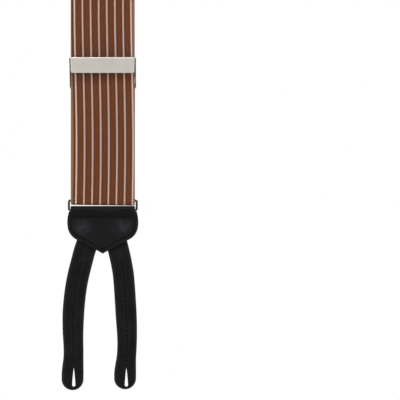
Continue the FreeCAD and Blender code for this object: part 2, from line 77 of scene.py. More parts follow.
FOOT_Y, FOOT_Z, FOOT_TURN = 3.15, 62.9, 1.7  # the adjuster's foot bar, from the ring's bar
PIN_Y, PIN_Z = -4.3, 76.8  # the lever's hinge pin, from the ring's bar
STITCH_PITCH = 2.3

# ---------------------------------------------------------------- camera and studio

CAMERA_DISTANCE = 2.0
VIEW_WIDTH, VIEW_X, VIEW_Z = 0.2188, 0.1482, -0.1597


def make_camera():
    """Straight in front, with the left end in the left half of the view, as photographed."""
    data = bpy.data.cameras.new("camera")
    data.sensor_width = 36
    data.lens = data.sensor_width * CAMERA_DISTANCE / VIEW_WIDTH
    data.clip_start, data.clip_end = 0.1, 50
    camera = bpy.data.objects.new("camera", data)
    camera.location = (VIEW_X, FRONT_PLANE * MM - CAMERA_DISTANCE, VIEW_Z)
    camera.rotation_euler = (math.radians(90), 0, 0)
    bpy.context.scene.collection.objects.link(camera)
    bpy.context.scene.camera = camera


def make_area_light(name, location, target, size, power):
    data = bpy.data.lights.new(name, "AREA")
    data.shape, data.size, data.energy = "SQUARE", size, power
    light = bpy.data.objects.new(name, data)
    light.location = location
    light.rotation_euler = (Vector(target) - Vector(location)).to_track_quat("-Z", "Y").to_euler()
    bpy.context.scene.collection.objects.link(light)


def make_world():
    """Soft light from everywhere, and a white backdrop."""
    world = bpy.data.worlds.new("studio")
    bpy.context.scene.world = world
    world.use_nodes = True
    nodes, links = world.node_tree.nodes, world.node_tree.links
    nodes.clear()
    ambient, backdrop = nodes.new("ShaderNodeBackground"), nodes.new("ShaderNodeBackground")
    ambient.inputs["Strength"].default_value = 0.3
    backdrop.inputs["Strength"].default_value = 1.0
    for background in (ambient, backdrop):
        background.inputs["Color"].default_value = (1, 1, 1, 1)
    seen, mix = nodes.new("ShaderNodeLightPath"), nodes.new("ShaderNodeMixShader")
    links.new(seen.outputs["Is Camera Ray"], mix.inputs[0])
    links.new(ambient.outputs[0], mix.inputs[1])
    links.new(backdrop.outputs[0], mix.inputs[2])
    links.new(mix.outputs[0], nodes.new("ShaderNodeOutputWorld").inputs["Surface"])


def make_studio():
    """A white room with a round floor and soft boxes left, right, above and behind."""
    scene = bpy.context.scene
    scene.view_settings.view_transform = "Standard"
    make_world()
    middle = (0.09, -0.11, -0.14)
    make_area_light("soft_box_left", (-1.2, -1.1, 0.3), middle, 0.6, 11)
    make_area_light("soft_box_right", (1.4, -1.1, 0.3), middle, 0.6, 11)
    make_area_light("soft_box_above", (0.05, -1.05, 1.15), middle, 0.35, 13.5)
    make_area_light("soft_box_behind", (0.2, 1.9, 1.0), (0, 0, 0), 1.2, 22)

    radius, level = 3, -0.6
    rim = [(radius * math.cos(a), radius * math.sin(a), level)
           for a in np.linspace(0, 2 * math.pi, 96, False)]
    mesh = bpy.data.meshes.new("floor")
    mesh.from_pydata(rim, [], [list(range(len(rim)))])
    floor = bpy.data.objects.new("floor", mesh)
    mesh.materials.append(plain_floor())
    scene.collection.objects.link(floor)


# ---------------------------------------------------------------- materials


class Num:
    """A number in a node tree, so that a pattern reads as arithmetic."""

    def __init__(self, tree, socket):
        self.tree, self.socket = tree, socket

    def then(self, operation, *others):
        node = self.tree.nodes.new("ShaderNodeMath")
        node.operation = operation
        for socket, item in zip(node.inputs, (self, *others)):
            plug(self.tree, socket, item)
        return Num(self.tree, node.outputs[0])

    def __add__(self, other):
        return self.then("ADD", other)

    def __sub__(self, other):
        return self.then("SUBTRACT", other)

    def __mul__(self, other):
        return self.then("MULTIPLY", other)

    def __truediv__(self, other):
        return self.then("DIVIDE", other)

    def __abs__(self):
        return self.then("ABSOLUTE")

    def flipped(self):
        """One minus this."""
        return self * -1 + 1

    def ramp(self, low, high):
        """Smoothly 0 at low to 1 at high."""
        node = self.tree.nodes.new("ShaderNodeMapRange")
        node.interpolation_type = "SMOOTHSTEP"
        plug(self.tree, node.inputs["Value"], self)
        plug(self.tree, node.inputs["From Min"], low)
        plug(self.tree, node.inputs["From Max"], high)
        return Num(self.tree, node.outputs["Result"])

    def wave(self, period):
        """A sine of this, from 0 to 1."""
        return (self * (2 * math.pi / period)).then("SINE") * 0.5 + 0.5


def plug(tree, socket, item):
    """Puts a Num, a socket or a constant into an input."""
    if isinstance(item, Num):
        tree.links.new(item.socket, socket)
    elif isinstance(item, bpy.types.NodeSocket):
        tree.links.new(item, socket)
    else:
        socket.default_value = item


def blend_colours(tree, amount, first, second):
    node = tree.nodes.new("ShaderNodeMix")
    node.data_type = "RGBA"
    plug(tree, node.inputs["Factor"], amount)
    plug(tree, node.inputs["A"], first)
    plug(tree, node.inputs["B"], second)
    return node.outputs["Result"]


def colour(red, green, blue):
    """A linear colour from the eye's 0 to 255 scale."""
    return tuple(((v / 255 + 0.055) / 1.055) ** 2.4 for v in (red, green, blue)) + (1.0,)


def new_material(name, **sockets):
    material = bpy.data.materials.new(name)
    material.use_nodes = True
    shader = material.node_tree.nodes["Principled BSDF"]
    for socket, value in sockets.items():
        shader.inputs[socket.replace("_", " ")].default_value = value
    return material, material.node_tree, shader


def own_position(tree):
    return tree.nodes.new("ShaderNodeTexCoord").outputs["Object"]


def stretched(tree, vector, scale):
    node = tree.nodes.new("ShaderNodeMapping")
    plug(tree, node.inputs["Vector"], vector)
    node.inputs["Scale"].default_value = scale
    return node.outputs["Vector"]


def mottle(tree, vector, scale, detail=2.0):
    node = tree.nodes.new("ShaderNodeTexNoise")
    plug(tree, node.inputs["Vector"], vector)
    node.inputs["Scale"].default_value = scale
    node.inputs["Detail"].default_value = detail
    return Num(tree, node.outputs["Fac"])


def bump(tree, shader, height, distance, strength=1.0):
    node = tree.nodes.new("ShaderNodeBump")
    node.inputs["Distance"].default_value = distance
    node.inputs["Strength"].default_value = strength
    plug(tree, node.inputs["Height"], height)
    tree.links.new(node.outputs["Normal"], shader.inputs["Normal"])


def attribute(tree, name):
    node = tree.nodes.new("ShaderNodeAttribute")
    node.attribute_name = name
    return node


def plain_floor():
    material, tree, shader = new_material("floor", Roughness=0.9)
    tone = mottle(tree, own_position(tree), 3.0)
    pale = blend_colours(tree, tone, (0.93, 0.93, 0.93, 1), (0.96, 0.96, 0.96, 1))
    tree.links.new(pale, shader.inputs["Base Color"])
    tree.links.new(pale, shader.inputs["Emission Color"])
    shader.inputs["Emission Strength"].default_value = 0.4
    return material


def dotted_beads(beside, near_row):
    """(white, dark dot) of an inner stripe: plain beads between wider ones that hold a dot."""
    swell = near_row.ramp(0.10, 0.30).flipped()
    white = (beside - swell * 0.3).ramp(0.2, 0.3).flipped()
    dot = (beside * beside + near_row * near_row).then("SQRT").ramp(0.17, 0.31).flipped()
    return white * dot.flipped(), dot


def leaning_beads(inward, beside, row):
    """(white, parting) of an outer stripe: leaning beads parted by dark slanting lines."""
    parting = abs(row - inward * 0.35).ramp(0.11, 0.24).flipped() * beside.ramp(0.5, 0.7).flipped()
    parting = parting * inward.ramp(0.0, 0.55).flipped()
    spur = abs(inward - 0.52).ramp(0.1, 0.24).flipped() * abs(row).ramp(0.06, 0.18).flipped()
    beads = abs(inward - row * 0.12).ramp(0.34, 0.46).flipped()
    return beads.then("MAXIMUM", spur) * parting.flipped(), parting


def dark_slits(tree, cloth, beside, near_row):
    """Dark slits that taper away from each dotted row."""
    taper = beside.ramp(0.2, 2.3).flipped()
    slit = (near_row - taper * 0.2).ramp(-0.06, 0.04).flipped() * taper.ramp(0.0, 0.6)
    uneven = mottle(tree, stretched(tree, cloth, (0.5, 2.4, 1)), 1.0, 1.0)
    return slit * beside.ramp(0.3, 0.5) * (uneven.ramp(0.3, 0.55) * 0.6 + 0.4)


def brown_yarn(tree, cloth, weft):
    """The slow colour drift of the dyed yarn, darker along the weft ribs and in specks."""
    drift = mottle(tree, stretched(tree, cloth, (0.45, 1.6, 1)), 1.0, 3.0)
    brown = blend_colours(tree, drift, colour(79, 41, 23), colour(112, 64, 37))
    grain = mottle(tree, stretched(tree, cloth, (0.9, 1.5, 1)), 1.0, 2.0)
    ribbed = weft * 0.25 + grain.ramp(0.5, 0.66) * 0.4
    return blend_colours(tree, ribbed, brown, colour(52, 26, 14))


def tan_yarn(tree, edge, rib):
    """The ribbed selvedges, with a painted highlight along the very edge."""
    tan = blend_colours(tree, rib, colour(138, 95, 68), colour(110, 71, 50))
    # a painted highlight along the rounded outermost half millimetre
    return blend_colours(tree, edge.ramp(0.0, 0.5).flipped() * 0.3, tan, colour(160, 122, 96))


def striped_webbing():
    """Brown elastic webbing with eight beaded white pinstripes and tan ribbed selvedges.

    The cloth's own coordinates come with the mesh: x across from one selvedge, y along the run.
    """
    first, pitch = 2.4, 4.44  # from the selvedge to the first stripe, and between stripes
    period = 1.28  # of the pattern of beads along a stripe
    material, tree, shader = new_material("striped_webbing", Roughness=0.78)
    cloth = attribute(tree, "cloth").outputs["Vector"]
    split = tree.nodes.new("ShaderNodeSeparateXYZ")
    tree.links.new(cloth, split.inputs[0])
    across, along = Num(tree, split.outputs["X"]), Num(tree, split.outputs["Y"])

    # where a place is in its stripe's lane, and in its row of beads
    lanes = (across - (first - pitch / 2)) / pitch
    lane = lanes.then("FLOOR")
    off = (lanes - lane - 0.5) * pitch
    turn = along / period + lane * 0.5
    row = (turn.then("FRACT") - 0.5) * period
    beside, near_row = abs(off), abs(row)

    from_middle = lane - 3.5  # the eight lanes are 0 to 7
    outer = abs(from_middle).then("GREATER_THAN", 3.2)
    inner = outer.flipped()
    inward = off * (from_middle.then("SIGN") * -1)
    white, dot = dotted_beads(beside, near_row)
    edge_white, parting = leaning_beads(inward, beside, row)
    stripe = white * inner + edge_white * outer

    slit = dark_slits(tree, cloth, beside, near_row)
    weft, rib = along.wave(period / 6), along.wave(period / 4)
    edge = (across * -1 + WEBBING_WIDTH).then("MINIMUM", across)
    selvedge = edge.ramp(0.7, 0.95).flipped()
    brown = blend_colours(tree, slit * 0.95, brown_yarn(tree, cloth, weft), colour(22, 9, 5))
    dyed = blend_colours(tree, selvedge, brown, tan_yarn(tree, edge, rib))
    dyed = blend_colours(tree, dot * inner, dyed, colour(40, 40, 54))
    dyed = blend_colours(tree, parting * outer * 0.9, dyed, colour(54, 30, 30))
    dyed = blend_colours(tree, stripe, dyed, colour(204, 182, 173))
    tree.links.new(dyed, shader.inputs["Base Color"])

    height = stripe * 0.75 + weft * 0.14 - slit * 0.7 + rib * selvedge * 0.3
    bump(tree, shader, height, 0.00022)
    shader.inputs["Specular IOR Level"].default_value = 0.1
    return material


def black_leather():
    """Fine-grained black leather, rubbed greyer on its edges and ridges, with a painted sheen on
    the crown's haunches and painted shade in its folds.
    """
    material, tree, shader = new_material("black_leather", Roughness=0.46)
    place = own_position(tree)
    pebbles = tree.nodes.new("ShaderNodeTexVoronoi")
    plug(tree, pebbles.inputs["Vector"], place)
    pebbles.inputs["Scale"].default_value = 1500
    cell = Num(tree, pebbles.outputs["Distance"])
    creases = mottle(tree, place, 420, 4.0)
    cloud = mottle(tree, place, 95, 3.0)
    wear_and_painted_light = Num(tree, attribute(tree, "wear_and_painted_light").outputs["Fac"])
    leather_colour = blend_colours(tree, cloud.ramp(0.3, 0.75), colour(8, 8, 8), colour(15, 15, 17))
    # painted shade: below 0 the attribute darkens the colour towards black, in the crown's fold
    # and seam groove
    leather_colour = blend_colours(tree, wear_and_painted_light * -1, leather_colour, colour(1, 1, 1))
    # real edge wear and the crown's painted sheen both lighten the leather towards grey
    wear_and_sheen = wear_and_painted_light * (creases.ramp(0.35, 0.7) * 0.45 + 0.42)
    leather_colour = blend_colours(tree, wear_and_sheen * 0.6, leather_colour, colour(50, 51, 56))
    tree.links.new(leather_colour, shader.inputs["Base Color"])
    gloss = cloud * 0.22 + cell * 0.12 + 0.36
    tree.links.new(gloss.socket, shader.inputs["Roughness"])
    bump(tree, shader, cell * -0.6 + creases * 0.8, 0.00009, 0.9)
    shader.inputs["Specular IOR Level"].default_value = 0.09
    return material


def satin_nickel():
    """Nickel plate, brushed lengthways."""
    material, tree, shader = new_material("satin_nickel", Metallic=1.0, Roughness=0.34)
    place = own_position(tree)
    brushed = mottle(tree, stretched(tree, place, (120, 5200, 5200)), 1.0, 3.0)
    cloud = mottle(tree, place, 160, 2.0)
    tone = blend_colours(tree, cloud, colour(196, 191, 184), colour(210, 205, 198))
    tree.links.new(tone, shader.inputs["Base Color"])
    gloss = brushed * 0.12 + 0.44
    tree.links.new(gloss.socket, shader.inputs["Roughness"])
    bump(tree, shader, brushed, 0.000012)
    return material


def nickel_with_painted_shade():
    """The adjuster's frame: the same nickel, darkened nearly to black with painted shade."""
    material, tree, shader = new_material("nickel_with_painted_shade", Metallic=1.0, Roughness=0.42)
    cloud = mottle(tree, own_position(tree), 220, 3.0)
    # painted shade: the nickel's tone is taken down nearly to black
    tone = blend_colours(tree, cloud, colour(24, 22, 21), colour(40, 37, 35))
    tree.links.new(tone, shader.inputs["Base Color"])
    bump(tree, shader, cloud, 0.00002)
    return material


def black_wire():
    """Black-enamelled steel wire."""
    material, tree, shader = new_material("black_wire", Roughness=0.36)
    place = own_position(tree)
    peel = mottle(tree, place, 900, 2.0)
    tone = blend_colours(tree, peel, colour(12, 12, 13), colour(22, 22, 23))
    tree.links.new(tone, shader.inputs["Base Color"])
    bump(tree, shader, peel, 0.00002)
    return material


def thread(name, dark, light):
    """Twisted sewing thread."""
    material, tree, shader = new_material(name, Roughness=0.66)
    place = own_position(tree)
    twist = tree.nodes.new("ShaderNodeTexWave")
    twist.bands_direction = "DIAGONAL"
    plug(tree, twist.inputs["Vector"], place)
    twist.inputs["Scale"].default_value = 900
    ply = Num(tree, twist.outputs["Fac"])
    tree.links.new(blend_colours(tree, ply, dark, light), shader.inputs["Base Color"])
    bump(tree, shader, ply, 0.00005)
    shader.inputs["Specular IOR Level"].default_value = 0.03
    return material


make_camera()
make_studio()
WEBBING = striped_webbing()
LEATHER = black_leather()
NICKEL = satin_nickel()
NICKEL_WITH_PAINTED_SHADE = nickel_with_painted_shade()
WIRE = black_wire()
BLACK_THREAD = thread("black_thread", colour(2, 2, 2), colour(6, 6, 7))
BROWN_THREAD = thread("brown_thread", colour(70, 38, 24), colour(122, 74, 48))

# ---------------------------------------------------------------- meshes


class End:
    """Where one of the three ends hangs."""

    def __init__(self, name, side, depth, turned):
        self.name, self.side, self.depth, self.turned = name, side, depth, turned

    def place(self, points):
        """Points of the end's own frame, in the row frame."""
        points = np.array(points, float).reshape(-1, 3)
        flip = -1 if self.turned else 1
        points = points * (flip, flip, 1)
        return points + (self.side * STRAP_OFFSET, self.depth, RING_LEVEL)


LEFT, RIGHT = End("left", 1, FRONT_BAR, False), End("right", -1, FRONT_BAR, False)
REAR = End("rear", 0, REAR_BAR, True)


def store(mesh, name, kind, field, values):
    """Keeps something about each point in the mesh, for its material to read."""
    data = mesh.attributes.new(name, kind, "POINT").data
    data.foreach_set(field, np.array(values, np.float32).ravel())


def build(name, points, faces, material, body, replaces=(), cloth=None, wear_and_painted_light=None):
    """Makes one piece from millimetre points, and has it ride on its body if one is given."""
    mesh = bpy.data.meshes.new(name)
    mesh.from_pydata((np.array(points, float) * MM).tolist(), [], faces)
    if cloth is not None:
        store(mesh, "cloth", "FLOAT_VECTOR", "vector", cloth)
    store(mesh, "wear_and_painted_light", "FLOAT", "value", np.zeros(len(points)) if wear_and_painted_light is None else wear_and_painted_light)
    shaper = bmesh.new()
    shaper.from_mesh(mesh)
    bmesh.ops.recalc_face_normals(shaper, faces=shaper.faces)
    shaper.to_mesh(mesh)
    shaper.free()
    mesh.polygons.foreach_set("use_smooth", [True] * len(mesh.polygons))
    mesh.materials.append(material)
    piece = bpy.data.objects.new(name, mesh)
    bpy.context.scene.collection.objects.link(piece)
    if body:
        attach(piece, body)
    if replaces:
        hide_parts(*replaces)
    return piece


def loft_faces(rings, around, first=0):
    """Faces of a tube of rings, each with the same number of points, with both ends closed."""
    faces = []
    for ring in range(rings - 1):
        here = first + ring * around
        beyond = here + around
        for step in range(around):
            ahead = (step + 1) % around
            faces.append((here + step, here + ahead, beyond + ahead, beyond + step))
    faces.append(tuple(range(first, first + around)))
    last = first + (rings - 1) * around
    faces.append(tuple(range(last, last + around)))
    return faces


def smooth(value, low, high):
    """Smoothly 0 at low to 1 at high."""
    t = np.clip((np.asarray(value, float) - low) / (high - low), 0, 1)
    return t * t * (3 - 2 * t)


def ridge(value, middle, width):
    """1 at the middle, falling away on both sides."""
    return np.exp(-(((value - middle) / width) ** 2))


def rounding(distance, radius, least):
    """What part of its thickness a sheet has at a distance from its rounded edge."""
    return np.maximum(np.sqrt(1 - (1 - np.clip(distance / radius, 0, 1)) ** 2), least)


def arc(start, middle, end, count):
    """Points of the circle through three points, from start to end."""
    (ax, ay), (bx, by), (cx, cy) = start, middle, end
    d = 2 * (ax * (by - cy) + bx * (cy - ay) + cx * (ay - by))
    a, b, c = ax**2 + ay**2, bx**2 + by**2, cx**2 + cy**2
    ux = (a * (by - cy) + b * (cy - ay) + c * (ay - by)) / d
    uy = (a * (cx - bx) + b * (ax - cx) + c * (bx - ax)) / d
    first, last = math.atan2(ay - uy, ax - ux), math.atan2(cy - uy, cx - ux)
    sweep = (last - first + math.pi) % (2 * math.pi) - math.pi
    angles = first + sweep * np.linspace(0, 1, count)
    radius = math.hypot(ax - ux, ay - uy)
    return np.stack([ux + radius * np.cos(angles), uy + radius * np.sin(angles)], 1)


def curve_through(points, step):
    """Evenly spaced points of a Catmull-Rom curve through a few points."""
    points = np.array(points, float)
    padded = np.vstack([2 * points[0] - points[1], points, 2 * points[-1] - points[-2]])
    fine = []
    for a, b, c, d in zip(padded, padded[1:], padded[2:], padded[3:]):
        for t in np.linspace(0, 1, 24, False):
            fine.append(0.5 * (2 * b + (c - a) * t + (2 * a - 5 * b + 4 * c - d) * t**2
                               + (3 * b - a - 3 * c + d) * t**3))
    return evenly(np.vstack([fine, points[-1:]]), step)


def lengths_along(points):
    """The length of a line from its start to each of its points."""
    return np.concatenate([[0], np.cumsum(np.linalg.norm(np.diff(points, axis=0), axis=1))])


def resampled(points, count):
    """The same line, with a count of evenly spaced points."""
    lengths = lengths_along(points)
    wanted = np.linspace(0, lengths[-1], count)
    return np.stack([np.interp(wanted, lengths, column) for column in points.T], 1)


def evenly(points, step):
    """The same line, with points about a step apart."""
    return resampled(points, max(2, round(lengths_along(points)[-1] / step) + 1))


def across_steps(count):
    """Steps from -1 to 1, closer together towards both edges."""
    return np.sin(np.linspace(-1, 1, count) * math.pi / 2)


def headings(line):
    """The line's unit direction at each of its points."""
    steps = np.gradient(line, axis=0)
    return steps / np.linalg.norm(steps, axis=1)[:, None]


def both_sides(edge):
    """A right-hand edge from the top, and then its mirror image back up."""
    return np.vstack([edge, (edge * (-1, 1))[::-1]])


def distance_to(line, x, z):
    """How far each (x, z) is from a line of points."""
    spots = np.stack([np.ravel(x), np.ravel(z)], 1)
    best = np.full(len(spots), 1e9)
    for start, end in zip(line, line[1:]):
        along = end - start
        t = np.clip(((spots - start) @ along) / max(along @ along, 1e-9), 0, 1)
        best = np.minimum(best, np.linalg.norm(spots - start - t[:, None] * along, axis=1))
    return best.reshape(np.shape(x))


def inset_of(edge, inset):
    """A line that runs inside a right-hand edge, from its top to the middle of the shape."""
    line = evenly(np.array(edge), 0.4)
    heading = headings(line)
    inner = line + np.stack([heading[:, 1], -heading[:, 0]], 1) * inset
    keep = (inner[:, 0] > 0) & (distance_to(edge, inner[:, 0], inner[:, 1]) > inset - 0.08)
    return inner[keep]


# ---------------------------------------------------------------- webbing

EDGE_STEPS = [0.0, 0.08, 0.22, 0.45, 0.8, 1.3, 2.1, 3.2]
COLUMNS = np.array(
    EDGE_STEPS
    + list(np.linspace(4.6, WEBBING_WIDTH - 4.6, 14))
    + [WEBBING_WIDTH - step for step in reversed(EDGE_STEPS)]
)


def web_thickness(across):
    """Half the webbing's thickness, which rounds off at its selvedges."""
    edge = np.minimum(across, WEBBING_WIDTH - across)
    woven = 0.86 + 0.14 * smooth(edge, 0.9, 1.4)  # the selvedges are woven a little thinner
    return HALF_THICK * rounding(edge, 0.45, 0.12) * woven


def spaced(start, *legs):
    """Lengths from a start through each leg, given as its (end, count of points)."""
    lengths = [start]
    for end, count in legs:
        lengths += list(np.linspace(lengths[-1], end, count))[1:]
    return lengths


def webbing(name, stations, body, replaces):
    """A run of webbing, lofted through its stations.

    Each station gives the cloth's length so far and a function that places (across, lift), with
    across from the run's centre line.
    """
    points, cloth = [], []
    half = web_thickness(COLUMNS)
    for length, locate in stations:
        ripple = 0.07 * noise.noise(Vector((length / 31, 0.3, 0.7)))
        wander = 0.12 + 0.6 * math.sin((length - 241) / 26)  # the stripes don't run quite true
        for layer, columns in ((1, range(len(COLUMNS))), (-1, reversed(range(len(COLUMNS))))):
            for i in columns:
                points.append(locate(COLUMNS[i] - WEBBING_WIDTH / 2, layer * half[i] + ripple))
                cloth.append((COLUMNS[i] - wander, length, layer))
    faces = loft_faces(len(stations), 2 * len(COLUMNS))
    return build(name, points, faces, WEBBING, body, replaces, cloth=cloth)


def over_shoulder(side, layer, across, along, lift):
    """A front strap's flat place (across, along), rolled over the shoulder."""
    radius = (layer - FRONT_PLANE) / 2
    angle = min(max(along / radius, 0), math.pi)
    straight = along if along < 0 else max(along - math.pi * radius, 0)
    rise = (radius + lift) * math.sin(angle) + (straight if along < 0 else -straight)
    depth = FRONT_PLANE + radius - (radius + lift) * math.cos(angle)
    return (side * across, depth, SHOULDER_LEVEL + rise)


def front_run(end, length, across, lift):
    """Down from the shoulder, round the ring's bar, up to the foot bar and over it to the tail."""
    x = end.side * STRAP_OFFSET + across
    fold, foot = math.pi * LANE, math.pi * FOOT_TURN
    past = length - FRONT_DROP
    if past <= 0:
        return (x, FRONT_PLANE - lift, SHOULDER_LEVEL - length)
    if past <= fold:
        reach, angle = LANE + lift, past / LANE
        droop = (0.52 + 0.013 * across * end.side) * math.sin(angle) ** 2
        y = FRONT_BAR - reach * math.cos(angle)
        return (x, y, RING_LEVEL - reach * math.sin(angle) - droop)
    past -= fold
    if past <= FOOT_Z:
        return (x, FRONT_BAR + LANE + lift, RING_LEVEL + past)
    past -= FOOT_Z
    if past <= foot:
        reach, angle = FOOT_TURN - lift, past / FOOT_TURN
        y = FRONT_BAR + FOOT_Y - reach * math.cos(angle)
        return (x, y, RING_LEVEL + FOOT_Z + reach * math.sin(angle))
    return (x, FRONT_BAR + FOOT_Y + FOOT_TURN - lift, RING_LEVEL + FOOT_Z - (past - foot))


def shoulder_stations(end):
    """Stations from the crosspatch up and over the shoulder, and their whole length.

    The strap runs straight and splayed at first, and turns to hang straight down in front.
    """
    layer = MIDDLE_LAYER - end.side * LAYER_STEP / 2
    radius = (layer - FRONT_PLANE) / 2
    turn = math.pi * radius / math.sin(SPLAY)
    shift = turn * (1 - math.cos(SPLAY))
    straight = SHOULDER_LEVEL / math.cos(SPLAY)
    stations = []

    def add(length, across, along, heading):
        def locate(offset, lift):
            offset *= end.side
            place = (across + offset * math.cos(heading), along + offset * math.sin(heading))
            return over_shoulder(end.side, layer, *place, lift)

        stations.append((length, locate))

    for run in np.linspace(straight, 0, 56, False):
        add(-(turn * SPLAY + run), STRAP_OFFSET - shift - run * math.sin(SPLAY),
            math.pi * radius + run * math.cos(SPLAY), SPLAY)
    for heading in np.linspace(SPLAY, 0, 80, False):
        across = STRAP_OFFSET - turn * (1 - math.cos(heading))
        add(-turn * heading, across, turn * math.sin(heading), heading)
    return stations, straight + turn * SPLAY


def hanging_stations(end, lengths):
    """Stations of a front strap in front, at lengths down from the shoulder."""
    return [(length, partial(front_run, end, length)) for length in lengths]


def make_front_webbing(end):
    """A strap to the middle of its fold on the ring, and the return run from there."""
    name, fold, foot_fold, tail = end.name, math.pi * LANE, math.pi * FOOT_TURN, 14.0
    mid_fold, past_fold = FRONT_DROP + fold / 2, FRONT_DROP + fold
    foot = past_fold + FOOT_Z

    stations, behind = shoulder_stations(end)
    stations += hanging_stations(end, spaced(0, (FRONT_DROP, 125), (mid_fold, 8)))
    run = webbing(f"{name}_webbing_front", stations, None, [f"{name}_strap"])
    whole = (behind + mid_fold) * MM
    high = Vector((end.side * STRAP_OFFSET, FRONT_PLANE, SHOULDER_LEVEL - 2)) * MM
    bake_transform(run)

    lengths = spaced(mid_fold, (past_fold, 8), (foot, 32), (foot + foot_fold, 12),
                     (foot + foot_fold + tail, 8))
    fold_back = webbing(f"{name}_webbing_return", hanging_stations(end, lengths), None,
                        [f"{name}_lower_webbing"])
    whole = (fold / 2 + FOOT_Z + foot_fold + tail) * MM
    low = Vector((end.side * STRAP_OFFSET, FRONT_BAR, RING_LEVEL - 2)) * MM
    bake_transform(fold_back)


def rear_run(length, across, lift):
    """Down from the crosspatch, round the rear ring's bar and up to the sewn end."""
    past = length - REAR_DROP
    if past <= 0:
        return (across, MIDDLE_LAYER + lift, REAR_TOP - length)
    if past <= math.pi * LANE:
        reach, angle = LANE + lift, past / LANE
        return (across, REAR_BAR + reach * math.cos(angle), RING_LEVEL - reach * math.sin(angle))
    rise = past - math.pi * LANE
    gather = REAR_GATHER * float(smooth(rise, 0, REAR_SLANT))
    return (across, REAR_BAR - LANE + gather - lift, RING_LEVEL + rise)


def make_rear_webbing():
    turned = REAR_DROP + math.pi * LANE
    lengths = spaced(0, (REAR_DROP, 62), (turned, 14), (turned + REAR_SLANT + REAR_TAIL, 20))
    stations = [(length, partial(rear_run, length)) for length in lengths]
    strap = webbing("rear_webbing", stations, "root", ["rear_strap"])
    flat = (WEBBING_WIDTH * MM, lengths[-1] * MM)


# ---------------------------------------------------------------- stitches


def stitches(name, spots, material, body, replaces=(), long=1.7, thick=0.27):
    """Rounded stitches that lie in a surface: each spot is (place, direction, outward)."""
    around, lengthwise = 8, 7
    points, faces = [], []
    for place, direction, outward in spots:
        place, direction = Vector(place), Vector(direction).normalized()
        outward = Vector(outward).normalized()
        side = outward.cross(direction)
        first = len(points)
        for t in np.linspace(-0.97, 0.97, lengthwise):
            swell = math.sqrt(1 - t**4)
            dip = -0.5 * thick * t * t
            for turn in np.linspace(0, 2 * math.pi, around, False):
                ring = side * math.cos(turn) + outward * math.sin(turn)
                points.append(place + direction * (t * long / 2) + outward * dip
                              + ring * (thick * swell))
        faces += loft_faces(lengthwise, around, first)
    return build(name, [tuple(p) for p in points], faces, material, body, replaces)


def seam_along(line, surface, outward):
    """Stitch spots at the thread's pitch along a line of (x, z), on a surface y = f(x, z)."""
    line = evenly(np.array(line, float), STITCH_PITCH)
    spots = []
    for (ax, az), (bx, bz) in zip(line, line[1:]):
        x, z = (ax + bx) / 2, (az + bz) / 2
        spots.append(((x, surface(x, z), z), (bx - ax, 0, bz - az), (0, outward, 0)))
    return spots


def placed(end, spots):
    """The same spots in the row frame."""
    flip = -1 if end.turned else 1
    return [
        (tuple(end.place([place])[0]), (d[0] * flip, 0, d[2]), (0, o[1] * flip, 0))
        for place, d, o in spots
    ]


# ---------------------------------------------------------------- crowns

ROLL_HALF, NECK_HALF, FLAP_HALF, NECK_LEVEL = 17.65, 18.3, 18.7, -6.6
CROWN_TOP, FOLD_LEVEL, SEAM_TOP, SEAM_INSET = -5.9, -8.4, -9.57, 2.0
CROWN_CENTRE = WRAP_RADIUS + LEATHER_THICK / 2  # from the ring's bar to the middle of the leather


def crown_edge():
    """The crown's right-hand edge from its level top down to its tip."""
    top, shoulder, corner = (18.6, CROWN_TOP), (18.6, -6.4), (19.3, -14.0)
    haunch, tip = (13.9, -21.6), (0.0, -29.1)
    bulge, swell, ogee = (19.4, -10.5), (17.7, -18.5), (6.95, -25.15)
    return np.vstack([[top], arc(shoulder, bulge, corner, 14), arc(corner, swell, haunch, 20)[1:],
                      arc(haunch, ogee, tip, 26)[1:]])


CROWN_EDGE = crown_edge()
CROWN_OUTLINE = both_sides(CROWN_EDGE)


def crown_half(z):
    """Half the crown's width at a height, narrower where it passes through the ring."""
    if z >= NECK_LEVEL:
        return ROLL_HALF + (NECK_HALF - ROLL_HALF) * float(smooth(-z, 5.6, -NECK_LEVEL))
    return max(float(np.interp(z, CROWN_EDGE[::-1, 1], CROWN_EDGE[::-1, 0])), 0.25)


def flap_half(z):
    """Half the width of the flap behind the crown, which narrows at both its ends."""
    narrowing = 1.05 * smooth(z, CROWN_TOP, -5.6) + 0.5 * (1 - smooth(z, -12.7, -12.0))
    return FLAP_HALF - float(narrowing)


def on_field(z):
    """0 on the roll and its fold, 1 on the field below them."""
    return smooth(-z, 8.4, 9.6)


def calm(z):
    """How much of a mark stays: less on the crown's tip, between the loops."""
    return 1 - 0.65 * smooth(-z, 20, 24)


def crown_relief(x, z):
    """(how far the face stands out, distance from the edge) at a place on the crown's field."""
    away = distance_to(CROWN_OUTLINE, x, z)
    groove = 0.42 * ridge(away, SEAM_INSET, 0.5) * on_field(z)
    level_fold = 0.55 * ridge(z, FOLD_LEVEL, 1.15) + 0.2 * ridge(z, SEAM_TOP, 0.4)
    puff = 1.1 * smooth(away, 2.0, 6.2) * smooth(-z, 9.8, 21.0) * (1 - 0.5 * smooth(-z, 20, 27))
    over_loops = smooth(-z, 17, 21) * smooth(np.abs(x), 2.0, 5.0)
    pinch = 0.7 * (1 - smooth(away, 0.2, 2.6)) * (1 - over_loops) * smooth(-z, 6.0, 8.0)
    return puff - groove - level_fold - pinch, away


def edge_wear(z, near):
    """How grey the leather is rubbed along its edge."""
    return 0.6 * (1 - smooth(near, 0.1, 1.7)) * calm(z)


